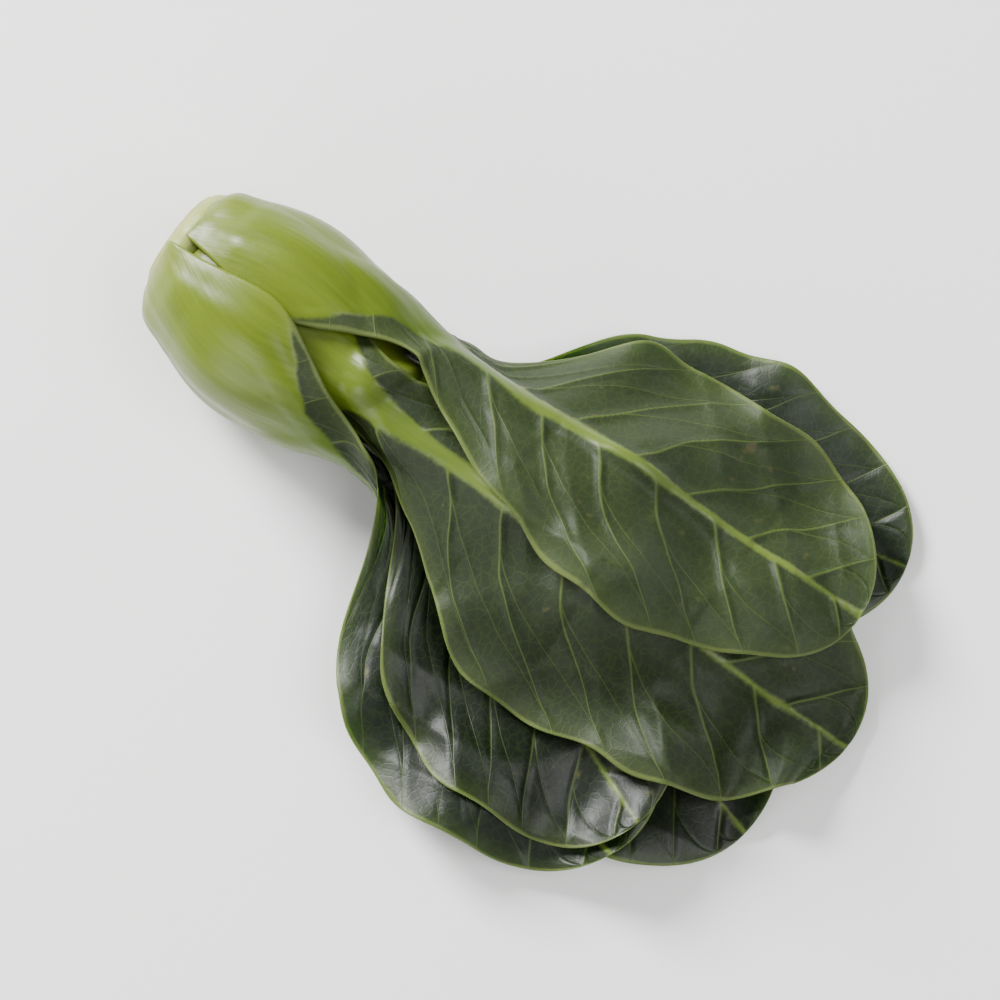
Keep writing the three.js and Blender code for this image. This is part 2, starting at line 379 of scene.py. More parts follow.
def heap_faces(leaf, s, t):
    """Inner and outer points of a leaf where it lies on the others."""
    out, c, slope = leaf.plan_line()
    n = (-t if leaf.under else t) * leaf.half_width(s)
    across = leaf.midrib_offset(s) + n
    x = NECK + (s - NECK) * c - across * slope
    y = out + (s - NECK) * slope + across * c
    low = leaf.blade_form(s, n) + sum(other.heap_push(x, y) for other in HEAP[:HEAP.index(leaf)])
    here = leaf.thickness(s, n)
    if leaf.under:
        low = low + leaf.middle_thickness(s) - here
    else:
        low = low + HEART_AIR * (1 - ease(NECK, 0.8 * HEAD_LENGTH, s))
    lower = np.stack([x, y, low], -1)
    upper = np.stack([x, y, low + here], -1)
    return (upper, lower) if leaf.under else (lower, upper)


def slanting(x, y, pitch, start):
    """A wave across the head, with its turns per millimetre along and across."""
    return np.sin(pitch[0] * x + pitch[1] * y + start)


def settled(points):
    """The heap's leaves give way together, in broad waves and soft creases that leave the floor flat."""
    x = points[..., 0]
    y = points[..., 1]
    z = points[..., 2]
    swell = SWELL * np.sin(SWELL_PITCH[0] * x + 0.7) * np.sin(SWELL_PITCH[1] * y + 1.1)
    slant = SLANT * slanting(x, y, SLANT_PITCH, 2)
    bending = BENDING * slanting(x, y, BENDING_PITCH, 0.4)
    folds = FOLD * (0.5 - np.abs(slanting(x, y, FOLD_PITCH, bending + 0.6)))
    creases = CREASE * (0.5 - np.abs(slanting(x, y, CREASE_PITCH, 0.8 * bending + 1.9)))
    waves = swell + slant + folds + creases - SINKING
    lifted = z + waves * ease(NECK, BLEND_END + 8, x) * z / (z + 6)
    return np.stack([x, y, lifted], -1)


def leaf_faces(leaf, s, t):
    """Inner and outer points of a leaf at stations s, a column, and shares t of its half width, a row."""
    opened = ease(BLEND_START, BLEND_END, s)[..., None]
    faces = []
    for shell, spread in zip(shell_faces(leaf, s, t), heap_faces(leaf, s, t)):
        points = mix(shell, spread, opened)
        points[..., 2] = np.maximum(points[..., 2], 0)
        faces.append(settled(points))
    return faces


def placed(points):
    """Points in the head's own millimetres, in metres where the frame holds the head."""
    low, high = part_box("stem")
    middle = (low + high) / 2
    return points * MM + np.array([low.x, middle.y, 0])


class PakChoyLeafSizes(bpy.types.PropertyGroup):
    """Sizes of what the leaves' surfaces carry."""

    mesh_spacing: FloatProperty(
        name="Mesh spacing", description="Distance between mesh rows on a blade",
        default=0.00046, unit="LENGTH")
    blade_thickness: FloatProperty(
        name="Blade thickness", description="Thickness of a blade beside its midrib",
        default=0.00045, unit="LENGTH")
    vein_spacing: FloatProperty(
        name="Vein spacing", description="Distance between side veins along the midrib of the longest leaf",
        default=0.0105, unit="LENGTH")
    vein_width: FloatProperty(
        name="Vein width", description="Half width of the ridge that a side vein makes",
        default=0.001, unit="LENGTH")
    vein_height: FloatProperty(
        name="Vein height", description="How far side veins stand out of a blade's outer face",
        default=0.00028, unit="LENGTH")
    pucker_height: FloatProperty(
        name="Pucker height", description="How far a blade swells between its side veins",
        default=0.00024, unit="LENGTH")
    strand_height: FloatProperty(
        name="Strand height", description="Height of the long strands in a stalk's surface",
        default=0.00009, unit="LENGTH")
    dent_height: FloatProperty(
        name="Dent height", description="Depth of the broad dents in a stalk",
        default=0.0003, unit="LENGTH")


class PakChoyLeafColours(bpy.types.PropertyGroup):
    """Colours of the leaves."""

    stalk_base: FloatVectorProperty(
        name="Stalk base", description="Colour of a stalk where it leaves the stem",
        default=(0.15, 0.19, 0.024), subtype="COLOR")
    stalk: FloatVectorProperty(
        name="Stalk", description="Colour of a stalk at the bulb",
        default=(0.105, 0.15, 0.006), subtype="COLOR")
    stalk_top: FloatVectorProperty(
        name="Stalk top", description="Colour of a stalk at the neck",
        default=(0.055, 0.1, 0.004), subtype="COLOR")
    blade_inner: FloatVectorProperty(
        name="Blade inside", description="Colour of a blade's inner face",
        default=(0.003, 0.0075, 0.0014), subtype="COLOR")
    blade_outer: FloatVectorProperty(
        name="Blade outside", description="Colour of a blade's outer face",
        default=(0.0115, 0.0215, 0.003), subtype="COLOR")
    vein: FloatVectorProperty(
        name="Veins", description="Colour of the midrib and the side veins",
        default=(0.1, 0.145, 0.022), subtype="COLOR")
    margin: FloatVectorProperty(
        name="Margin", description="Colour of the thin line along a blade's margin",
        default=(0.085, 0.115, 0.022), subtype="COLOR")
    blemish: FloatVectorProperty(
        name="Blemish", description="Colour of the few small scuffs on a blade",
        default=(0.075, 0.07, 0.02), subtype="COLOR")


class PakChoyStem(bpy.types.PropertyGroup):
    """Sizes and colours of the stem and its cut face."""

    strand_count: IntProperty(
        name="Strands", description="Number of strand ends in the ring on the cut face", default=34, min=3)
    strand_size: FloatProperty(
        name="Strand size", description="Radius of a strand end", default=0.00034, unit="LENGTH")
    flesh: FloatVectorProperty(
        name="Flesh", description="Colour of the cut face", default=(0.36, 0.4, 0.15), subtype="COLOR")
    pith: FloatVectorProperty(
        name="Pith", description="Colour of the middle of the cut face",
        default=(0.55, 0.56, 0.36), subtype="COLOR")
    skin: FloatVectorProperty(
        name="Skin", description="Colour of the stem's side", default=(0.3, 0.35, 0.08), subtype="COLOR")
    browned: FloatVectorProperty(
        name="Browned", description="Colour of the dried edge of the cut",
        default=(0.28, 0.2, 0.08), subtype="COLOR")
    strand: FloatVectorProperty(
        name="Strand ends", description="Colour of the strand ends on the cut face",
        default=(0.25, 0.27, 0.07), subtype="COLOR")


class PakChoyStage(bpy.types.PropertyGroup):
    """The floor, the lights and the camera."""

    floor: FloatVectorProperty(
        name="Floor", description="Colour of the floor", default=(0.93, 0.93, 0.92), subtype="COLOR")
    distance: FloatProperty(
        name="Camera distance", description="From the camera to the middle of the head",
        default=0.62, unit="LENGTH")
    elevation: FloatProperty(
        name="Camera elevation", description="Angle of the view above the floor",
        default=math.radians(80), unit="ROTATION")
    heading: FloatProperty(
        name="Camera heading", description="Angle of the head's axis to the picture's lower edge",
        default=math.radians(37), unit="ROTATION")


class Field:
    """A number that a node tree works out, so that a formula is written as one."""

    def __init__(self, tree, socket):
        self.tree = tree
        self.socket = socket

    def step(self, operation, *others):
        node = self.tree.nodes.new("ShaderNodeMath")
        node.operation = operation
        for entry, value in zip(node.inputs, (self, *others)):
            feed(entry, value)
        return Field(self.tree, node.outputs[0])

    def __add__(self, other):
        return self.step("ADD", other)

    def __radd__(self, other):
        return self.step("ADD", other)

    def __sub__(self, other):
        return self.step("SUBTRACT", other)

    def __rsub__(self, other):
        return self.step("MULTIPLY_ADD", -1.0, other)

    def __mul__(self, other):
        return self.step("MULTIPLY", other)

    def __truediv__(self, other):
        return self.step("DIVIDE", other)

    def __abs__(self):
        return self.step("ABSOLUTE")

    def sine(self):
        return self.step("SINE")

    def larger(self, other):
        return self.step("MAXIMUM", other)

    def bell(self, width):
        """One where the number is zero, down to nothing where it is past the width either way."""
        share = self / width
        return (1 - share * share).step("MAXIMUM", 0.0)

    def ease(self, start, end):
        """Rises smoothly from 0 to 1 between two values."""
        node = self.tree.nodes.new("ShaderNodeMapRange")
        node.interpolation_type = "SMOOTHSTEP"
        feed(node.inputs["Value"], self)
        feed(node.inputs["From Min"], start)
        feed(node.inputs["From Max"], end)
        return Field(self.tree, node.outputs["Result"])

    def between(self, first, second):
        """The first number where this one is 0, the second where it is 1."""
        return self * (second - first) + first


def feed(entry, value):
    """Gives a node's input a field, a socket or a plain value."""
    source = value.socket if isinstance(value, Field) else value
    if isinstance(source, bpy.types.NodeSocket):
        entry.id_data.links.new(source, entry)
    else:
        entry.default_value = source


def add_node(tree, kind, settings=None, **entries):
    """A new node with its settings, and its inputs fed by name."""
    node = tree.nodes.new(kind)
    for name, value in (settings or {}).items():
        setattr(node, name, value)
    for name, value in entries.items():
        feed(node.inputs[name], value)
    return node


def joined(tree, x, y, z):
    """A vector of three numbers."""
    return add_node(tree, "ShaderNodeCombineXYZ", X=x, Y=y, Z=z).outputs["Vector"]


def cloud(tree, vector, scale, detail=2.0):
    """Smooth seedless noise from about 0 to 1."""
    node = add_node(tree, "ShaderNodeTexNoise", Vector=vector, Scale=scale, Detail=detail)
    return Field(tree, node.outputs["Fac"])


def geometry_numbers(tree, *names):
    """Numbers held by the mesh's points, in a geometry tree."""
    kind = "GeometryNodeInputNamedAttribute"
    nodes = [add_node(tree, kind, {"data_type": "FLOAT"}, Name=name) for name in names]
    return [Field(tree, node.outputs["Attribute"]) for node in nodes]


def shader_numbers(tree, *names):
    """Numbers held by the mesh's points, in a material."""
    nodes = [add_node(tree, "ShaderNodeAttribute", {"attribute_name": name}) for name in names]
    return [Field(tree, node.outputs["Fac"]) for node in nodes]


def side_veins(tree, along, across, half, spacing, width, end_width):
    """Share of a side vein at a place on a blade.

    The veins leave the midrib aslant, bend towards the tip, fork, and loop into the next one.
    Their half width runs from one value at the midrib to another at the margin, all in metres.
    """
    reach = abs(across)
    place = joined(tree, along, across, 0.0)
    wander = (cloud(tree, place, WANDER_SCALE) - 0.5) * VEIN_WANDER
    lean = reach * VEIN_LEAN + reach * reach * VEIN_BEND
    row = (along - lean + wander) / spacing + across.step("SIGN") * 0.25
    fork = (reach / half).ease(*VEIN_FORK)
    thin = (reach / half).between(width, end_width)
    main = (row.step("FRACT") - 0.5) * spacing
    second = ((row - fork).step("FRACT") - 0.5) * spacing
    return main.bell(thin).larger(second.bell(thin * 0.8) * 0.7)


def new_tree(name, numbers):
    """An empty geometry tree with named numbers, a geometry and a material going in."""
    tree = bpy.data.node_groups.new(name, "GeometryNodeTree")
    sockets = tree.interface
    sockets.new_socket("Geometry", in_out="OUTPUT", socket_type="NodeSocketGeometry")
    sockets.new_socket("Geometry", in_out="INPUT", socket_type="NodeSocketGeometry")
    for number, default in numbers.items():
        kind = "NodeSocketInt" if isinstance(default, int) else "NodeSocketFloat"
        entry = sockets.new_socket(number, in_out="INPUT", socket_type=kind)
        entry.default_value = default
    sockets.new_socket("Material", in_out="INPUT", socket_type="NodeSocketMaterial")
    return tree, tree.nodes.new("NodeGroupInput").outputs


def end_tree(tree, geometry, material):
    """Ends a geometry tree as the export needs it, with nothing instanced and a material set."""
    real = add_node(tree, "GeometryNodeRealizeInstances", Geometry=geometry)
    clothed = add_node(tree, "GeometryNodeSetMaterial", Geometry=real.outputs[0], Material=material)
    feed(tree.nodes.new("NodeGroupOutput").inputs[0], clothed.outputs[0])
    return tree


def leaf_relief_tree(sizes):
    """Raises the strands of the stalk and the veins of the blade out of a smooth leaf."""
    tree, given = new_tree("Leaf relief", {
        "Vein spacing": sizes.vein_spacing,
        "Vein width": sizes.vein_width,
        "Vein height": sizes.vein_height,
        "Pucker height": sizes.pucker_height,
        "Strand height": sizes.strand_height,
        "Dent height": sizes.dent_height,
        "Seed": 0.0,
    })
    along, across, half, side, rib = geometry_numbers(tree, "along", "across", "half", "side", "rib")
    inset = half - abs(across)
    lamina = (abs(across) - rib).ease(-0.0006, 0.0009) * inset.ease(0.0, 0.002)
    spacing = Field(tree, given["Vein spacing"])
    width = Field(tree, given["Vein width"])
    veins = side_veins(tree, along, across, half, spacing, width, width)
    veins = veins * veins * lamina * (abs(across) / half).between(1.0, 0.4)
    outside = (side * -1.0).step("MAXIMUM", 0.0)
    inside = side.step("MAXIMUM", 0.0)
    vein_rise = veins * (outside - inside * 0.45) * Field(tree, given["Vein height"])
    pucker = side * (0.5 - veins) * lamina * Field(tree, given["Pucker height"])
    stalk = 1 - (abs(across) - rib).ease(-0.002, 0.0)
    share = across / half
    strand = (share * 15.0).sine() * 0.5 + (share * 26.0 + 1.3).sine() * 0.35
    strands = strand * stalk * inset.ease(0.0, 0.003) * half.ease(0.006, 0.013)
    strands = strands * Field(tree, given["Strand height"]) * abs(side)
    spot = joined(tree, along * 0.45, across, Field(tree, given["Seed"]))
    dents = (cloud(tree, spot, DENT_SCALE, 1.0) - 0.72) * stalk * 1.6 * Field(tree, given["Dent height"])
    dents = dents * (1 - along.ease(0.024, 0.038)) * outside * inset.ease(0.0, 0.003)
    rise = vein_rise + pucker + strands + dents
    normal = tree.nodes.new("GeometryNodeInputNormal").outputs[0]
    push = add_node(tree, "ShaderNodeVectorMath", {"operation": "SCALE"}, Vector=normal, Scale=rise)
    moved = add_node(tree, "GeometryNodeSetPosition", Geometry=given["Geometry"], Offset=push.outputs[0])
    return end_tree(tree, moved.outputs[0], given["Material"])


def grown(piece, tree, settings, floor=-math.inf):
    """Runs a geometry tree on a piece and keeps the result as its plain mesh, none of it below a floor."""
    modifier = piece.modifiers.new(tree.name, "NODES")
    modifier.node_group = tree
    for item in tree.interface.items_tree:
        if item.item_type == "SOCKET" and item.in_out == "INPUT" and item.name in settings:
            modifier[item.identifier] = settings[item.name]
    graph = bpy.context.evaluated_depsgraph_get()
    mesh = bpy.data.meshes.new_from_object(
        piece.evaluated_get(graph), preserve_all_data_layers=True, depsgraph=graph)
    piece.modifiers.remove(modifier)
    piece.data = mesh
    points = np.empty(len(mesh.vertices) * 3)
    mesh.vertices.foreach_get("co", points)
    points = points.reshape(-1, 3)
    points[:, 2] = np.maximum(points[:, 2], floor)
    mesh.vertices.foreach_set("co", points.ravel())
    mesh.update()


def new_piece(name, points, faces, numbers=None):
    """A smooth mesh object at the origin, with named numbers on its points."""
    mesh = bpy.data.meshes.new(name)
    mesh.from_pydata(points.tolist(), [], faces)
    for title, values in (numbers or {}).items():
        layer = mesh.attributes.new(title, "FLOAT", "POINT")
        layer.data.foreach_set("value", np.asarray(values, dtype=np.float32))
    mesh.polygons.foreach_set("use_smooth", [True] * len(mesh.polygons))
    mesh.update()
    piece = bpy.data.objects.new(name, mesh)
    bpy.context.collection.objects.link(piece)
    return piece


def rib_half_width(leaf, s):
    """Half width of the pale middle of a leaf: the whole stalk, narrowing to a midrib and to nothing."""
    widest = MIDRIB * leaf.slender + MIDRIB_FOOT
    midrib = mix(widest, MIDRIB_TIP, ease(BLADE_START + 12, leaf.length, s))
    return mix(leaf.half_width(s) + 0.6, midrib, ease(PALE_START, PALE_END, s))


def leaf_sections(leaf, sizes):
    """Closed sections along a leaf, each round its inner face, one margin, its outer face and the other."""
    spacing = sizes.mesh_spacing / MM
    rows = max(60, int(leaf.length / spacing))
    columns = max(24, int(2.1 * leaf.blade_half_width / spacing))
    q = np.linspace(0, 1, rows + 1)[:, None]
    s = mix(leaf.start, leaf.length - 0.01, (1 + TIP_CROWDING) * q - TIP_CROWDING * q**6)
    u = np.linspace(-1, 1, columns)[None, :]
    t = mix(u, np.sin(u * math.pi / 2), MARGIN_CROWDING)
    open_blade = ease(BLADE_START, BLEND_END, s) * (1 - ease(0.9, 1, s / leaf.length))
    turn = s * OUTLINE_PITCH + leaf.wave_phase + 1.7 * np.sign(t)
    waver = 1 + OUTLINE_WAVER * open_blade * (np.sin(turn) + 0.4 * np.sin(2.7 * turn))
    t = t * waver
    inner, outer = leaf_faces(leaf, s, t)
    n = t * leaf.half_width(s)
    ripple = np.sin(RUFFLE_PITCH * s + 2.6 * np.sign(t) + 5 * leaf.index)
    ruffle = RUFFLE * np.abs(t) ** 4 * open_blade * ripple
    for face in (inner, outer):
        face[..., 2] = np.maximum(face[..., 2] + ruffle, 0)
    if leaf.under:
        n = -n
    thinned = 1 - sizes.blade_thickness / MM / leaf.thickness(s, n)
    grown_blade = ease(BLADE_START - 3, BLEND_END - 10, s)
    pull = (0.5 * np.maximum(thinned, 0) * grown_blade * (1 - leaf.hump(s, n, 1)))[..., None]
    inner, outer = mix(inner, outer, pull), mix(outer, inner, pull)
    rounded = np.clip((s - leaf.start) / BASE_ROUND, 0.03, 1)
    outer = mix(inner, outer, np.sqrt(1 - (1 - rounded) ** 2)[..., None])

    def rim(column, beside):
        """Round margin from the inner to the outer face."""
        top = inner[:, column]
        bottom = outer[:, column]
        middle = (top + bottom) / 2
        spread = middle - (inner[:, beside] + outer[:, beside]) / 2
        spread /= np.maximum(np.linalg.norm(spread, axis=1, keepdims=True), 1e-6)
        deep = np.linalg.norm(top - bottom, axis=1, keepdims=True) / 2
        turns = [math.pi * (step + 1) / (RIM + 1) for step in range(RIM)]
        ring = [middle + (top - middle) * math.cos(turn) + spread * deep * math.sin(turn) for turn in turns]
        return np.stack(ring, 1)

    right = rim(-1, -2)
    left = rim(0, 1)[:, ::-1]
    points = np.concatenate([inner, right, outer[:, ::-1], left], 1)

    def all_round(values):
        """Numbers of one face, given to both faces and to the margins between them."""
        right_edge = np.repeat(values[:, -1:], RIM, 1)
        left_edge = np.repeat(values[:, :1], RIM, 1)
        return np.concatenate([values, right_edge, values[:, ::-1], left_edge], 1)

    across = all_round(n)
    sides = np.concatenate([np.ones(columns), np.zeros(RIM), -np.ones(columns), np.zeros(RIM)])
    numbers = {
        "along": np.broadcast_to(s, across.shape) * MM,
        "across": across * MM,
        "half": all_round(leaf.half_width(s) * waver) * MM,
        "side": np.broadcast_to(sides, across.shape),
        "rib": np.broadcast_to(rib_half_width(leaf, s), across.shape) * MM,
        "tone": np.full(across.shape, leaf.index / (LEAF_COUNT - 1)),
        "scale": np.full(across.shape, leaf.length / HEAD_LENGTH),
    }
    return points, columns, numbers


def section_faces(rows, columns):
    """Quads between neighbouring sections, and the faces that close the first and the last."""
    around = 2 * (columns + RIM)
    faces = []
    for row in range(rows - 1):
        here = row * around
        above = here + around
        for place in range(around):
            after = (place + 1) % around
            faces.append((here + place, here + after, above + after, above + place))
    for start, flip in ((0, True), ((rows - 1) * around, False)):
        cap = []
        opposite = 2 * columns + RIM - 1
        for place in range(columns - 1):
            cap.append((place, place + 1, opposite - place - 1, opposite - place))
        cap.append(tuple(range(columns - 1, columns + RIM + 1)))
        cap.append((*range(opposite, around), 0))
        for face in cap:
            corners = [start + corner for corner in face]
            faces.append(tuple(reversed(corners)) if flip else tuple(corners))
    return faces


def face_outwards(piece):
    """Turns a closed mesh the right way out if its volume comes out negative."""
    mesh = piece.data
    mesh.calc_loop_triangles()
    corners = np.empty(len(mesh.loop_triangles) * 3, dtype=np.int32)
    mesh.loop_triangles.foreach_get("vertices", corners)
    points = np.empty(len(mesh.vertices) * 3)
    mesh.vertices.foreach_get("co", points)
    a, b, c = points.reshape(-1, 3)[corners.reshape(-1, 3)].transpose(1, 0, 2)
    if np.einsum("ij,ij->i", a, np.cross(b, c)).sum() < 0:
        mesh.flip_normals()


def new_material(name):
    """A node material, its tree and its shader."""
    material = bpy.data.materials.new(name)
    material.use_nodes = True
    tree = material.node_tree
    return material, tree, tree.nodes["Principled BSDF"]


def painted(tree, share, first, second):
    """One colour where the share is 0 and the other where it is 1."""
    node = add_node(tree, "ShaderNodeMix", {"data_type": "RGBA"})
    feed(node.inputs[0], share)
    for entry, colour in ((node.inputs[6], first), (node.inputs[7], second)):
        feed(entry, colour if isinstance(colour, bpy.types.NodeSocket) else (*colour, 1.0))
    return node.outputs[2]


def shaded(tree, colour, amount):
    """A colour made lighter or darker by a factor."""
    node = add_node(tree, "ShaderNodeVectorMath", {"operation": "SCALE"}, Scale=amount)
    feed(node.inputs[0], colour)
    return node.outputs[0]


def bumped(tree, shader, height, distance, strength):
    """Lets fine relief in a material catch the light."""
    node = add_node(tree, "ShaderNodeBump", Height=height, Distance=distance, Strength=strength)
    feed(shader.inputs["Normal"], node.outputs["Normal"])


def lit_through(shader, weight, radius, scale):
    """Lets light into a material and out again, as far as a scale in metres in each colour."""
    shader.inputs["Subsurface Weight"].default_value = weight
    shader.inputs["Subsurface Radius"].default_value = radius
    shader.inputs["Subsurface Scale"].default_value = scale


def leaf_material(sizes, colours):
    """Glossy yellow-green stalk, dark blade with pale veins, paler and duller on its outer face."""
    material, tree, shader = new_material("pak choy leaf")
    along, across, half = shader_numbers(tree, "along", "across", "half")
    side, rib, tone, scale = shader_numbers(tree, "side", "rib", "tone", "scale")
    place = joined(tree, along, across, tone)
    inset = half - abs(across)
    drift = cloud(tree, place, DRIFT_SCALE, 3.0)
    fine = cloud(tree, place, FINE_SCALE, 3.0)
    edge = (drift - 0.5) * EDGE_DRIFT
    streak_place = joined(tree, along * STREAK_STRETCH, across, tone)
    streaks = cloud(tree, streak_place, STREAK_SCALE, 2.0)
    broad_streaks = cloud(tree, streak_place, BROAD_STREAK_SCALE, 2.0)
    frayed = edge * 0.6 + (broad_streaks - 0.5) * EDGE_FRAY + (fine - 0.5) * EDGE_FINE_FRAY
    lamina = (abs(across) - rib + frayed).ease(-0.0004, 0.0005)
    outside = 1 - side.ease(-1.0, 1.0)

    spacing = scale * sizes.vein_spacing
    width = sizes.vein_width * 0.4
    end_width = sizes.vein_width * 0.14
    veins = side_veins(tree, along, across, half, spacing, width, end_width)
    net_place = joined(tree, along + (drift - 0.5) * 0.002, across + (fine - 0.5) * 0.0008, tone)
    cells = add_node(tree, "ShaderNodeTexVoronoi", {"feature": "DISTANCE_TO_EDGE"},
                     Vector=net_place, Scale=NET_SCALE)
    net = Field(tree, cells.outputs["Distance"]).bell(0.1)
    vein_share = (veins * 0.8).larger(net * 0.12) * outside.between(0.6, 0.9)

    low = painted(tree, (along + edge).ease(0.0, 0.01), colours.stalk_base, colours.stalk)
    stalk = painted(tree, (along + edge * 2.0).ease(0.016, 0.046), low, colours.stalk_top)
    stalk_light = 0.55 + streaks * 0.38 + broad_streaks * 0.36 + drift * 0.1
    stalk = painted(tree, tone.ease(0.1, 0.7) * 0.6, stalk, colours.stalk_base)
    stalk = shaded(tree, stalk, stalk_light)
    stalk = painted(tree, (1 - inset.ease(0.0002, 0.0014)) * 0.4, stalk, colours.stalk_base)

    midrib = shaded(tree, colours.vein, 0.85 + streaks * 0.3)
    stalk = painted(tree, along.ease(0.036, 0.06), stalk, midrib)

    blade = painted(tree, outside, colours.blade_inner, colours.blade_outer)
    age = (tone * 18.9 - 0.53).sine() * AGE_SPREAD + AGE_LEVEL
    blade = shaded(tree, blade, (0.7 + drift * 0.6 + (fine - 0.5) * 0.35) * age)
    blade = painted(tree, (1 - inset.ease(0.0, 0.004)) * 0.12, blade, colours.vein)
    blade = painted(tree, vein_share * 0.62, blade, colours.vein)
    rim = (inset + (drift - 0.5) * 0.0012).ease(0.0001, 0.0006)
    blade = painted(tree, (1 - rim) * 0.8, blade, colours.margin)
    spots = cloud(tree, place, SPOT_SCALE, 2.0).ease(0.69, 0.78)
    blade = painted(tree, spots * 0.5, blade, colours.blemish)
    feed(shader.inputs["Base Color"], painted(tree, lamina, stalk, blade))

    gloss = lamina.between(0.36, 0.46) + outside * lamina * 0.12 + (fine - 0.5) * 0.12
    feed(shader.inputs["Roughness"], gloss)
    lit_through(shader, 0.18, (0.6, 1.0, 0.25), 0.0022)
    shader.inputs["Specular IOR Level"].default_value = 0.33
    height = lamina * (veins * 0.5 + net * 0.16) * (outside - 0.4)
    height = height + fine * 0.1 + streaks * (1 - lamina) * 0.34
    bumped(tree, shader, height, 0.00025, 0.6)
    return material


class PAKCHOY_OT_leaves(bpy.types.Operator):
    """Makes the ten leaves, each in the place of its solid"""

    bl_idname = "pakchoy.leaves"
    bl_label = "Leaves"

    def execute(self, context):
        sizes = context.scene.pakchoy_leaf_sizes
        material = leaf_material(sizes, context.scene.pakchoy_leaf_colours)
        tree = leaf_relief_tree(sizes)
        for leaf in LEAVES:
            points, columns, numbers = leaf_sections(leaf, sizes)
            flat = {title: values.ravel() for title, values in numbers.items()}
            faces = section_faces(len(points), columns)
            piece = new_piece(f"{leaf.name}_finished", placed(points.reshape(-1, 3)), faces, flat)
            face_outwards(piece)
            grown(piece, tree, {
                "Vein spacing": sizes.vein_spacing * leaf.length / HEAD_LENGTH,
                "Seed": leaf.index * 3.7,
                "Material": material,
            }, floor=0.0)
            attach(piece, "root")
            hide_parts(leaf.name)
        return {"FINISHED"}


def stem_radius(s):
    """Radius of the stem, which fills the space inside the leaves and closes at its tip."""
    radius = (core_radius(s) - SHELL_GAP) * np.sqrt(np.maximum(1 - (s / STEM_TIP) ** 4, 0))
    spread = BUTT_FACE + SPREAD * np.sin(math.pi / 2 * np.clip(s / SPREAD_LENGTH, 0, 1))
    return mix(spread, radius, ease(SPREAD_LENGTH, 3 * SPREAD_LENGTH, s))


def stem_points():
    """Rings of the stem from the middle of the cut face to its inner tip, closed at both ends."""
    butt = float(stem_radius(np.array([[0.0]]))[0, 0])
    face = butt - CUT_BEVEL
    rings = []
    for step in range(1, CUT_RINGS + 1):
        share = step / CUT_RINGS
        sunk = CUT_SINK * (1 - share**2) + CUT_RIPPLE * math.sin(14 * share)
        rings.append((sunk, share * face))
    for step in range(1, BEVEL_RINGS + 1):
        turn = math.pi / 2 * step / BEVEL_RINGS
        rings.append((CUT_BEVEL * (1 - math.cos(turn)), face + CUT_BEVEL * math.sin(turn)))
    stations = np.linspace(CUT_BEVEL, STEM_TIP - 0.02, SIDE_RINGS)[1:, None]
    for station, radius in zip(stations[:, 0], stem_radius(stations)[:, 0]):
        rings.append((float(station), max(float(radius), 0.05)))
    turns = np.arange(STEM_SIDES) * 2 * math.pi / STEM_SIDES
    ridged = 1 + STEM_RIDGE * np.sin(5 * turns) + STEM_GROOVE * np.sin(17 * turns + 1)
    points = [(rings[0][0], 0.0, STEM_HEIGHT)]
    for station, radius in rings:
        for turn, swell in zip(turns, ridged):
            reach = radius * swell
            points.append((station, reach * math.sin(turn), STEM_HEIGHT + reach * math.cos(turn)))
    points.append((STEM_TIP, 0.0, STEM_HEIGHT))
    return np.array(points), len(rings), butt


def stem_faces(rings):
    """Faces between the stem's rings, closed by a fan at the cut and another at the tip."""
    faces = []
    last = 1 + rings * STEM_SIDES
    for place in range(STEM_SIDES):
        after = (place + 1) % STEM_SIDES
        faces.append((0, 1 + place, 1 + after))
        for ring in range(rings - 1):
            here = 1 + ring * STEM_SIDES
            above = here + STEM_SIDES
            faces.append((here + place, above + place, above + after, here + after))
        end = last - STEM_SIDES
        faces.append((last, end + after, end + place))
    return faces


def stem_material(choice, butt):
    """Moist pale flesh on the cut, browned at its edge, and a greener side."""
    material, tree, shader = new_material("pak choy stem")
    along, reach = shader_numbers(tree, "along", "reach")
    spot = tree.nodes.new("ShaderNodeTexCoord").outputs["Object"]
    drift = cloud(tree, spot, 260.0, 3.0)
    fine = cloud(tree, spot, 2600.0, 3.0)
    share = reach / (butt * MM)
    ring = (share - STRAND_RING + (drift - 0.5) * 0.08).bell(0.1)
    pith = 1 - share.ease(0.2, 0.55)
    flesh = painted(tree, pith * 0.5, choice.flesh, choice.pith)
    flesh = painted(tree, ring * 0.45, flesh, choice.strand)
    flesh = shaded(tree, flesh, 0.8 + drift * 0.25 + fine * 0.15)
    dried = (share + (drift - 0.5) * 0.14).ease(0.9, 1.02) * 0.55
    flesh = painted(tree, dried, flesh, choice.browned)
    side = shaded(tree, choice.skin, 0.8 + drift * 0.4)
    feed(shader.inputs["Base Color"], painted(tree, along.ease(0.0002, 0.0008), flesh, side))
    feed(shader.inputs["Roughness"], 0.36 + drift * 0.2)
    lit_through(shader, 0.25, (1.0, 0.9, 0.5), 0.002)
    bumped(tree, shader, fine * 0.5, 0.0002, 0.5)
    return material


def random_numbers(tree, low, high, seed):
    """A random number for each point."""
    node = add_node(tree, "FunctionNodeRandomValue", {"data_type": "FLOAT"}, Seed=seed)
    feed(node.inputs[2], low)
    feed(node.inputs[3], high)
    return node.outputs[1]


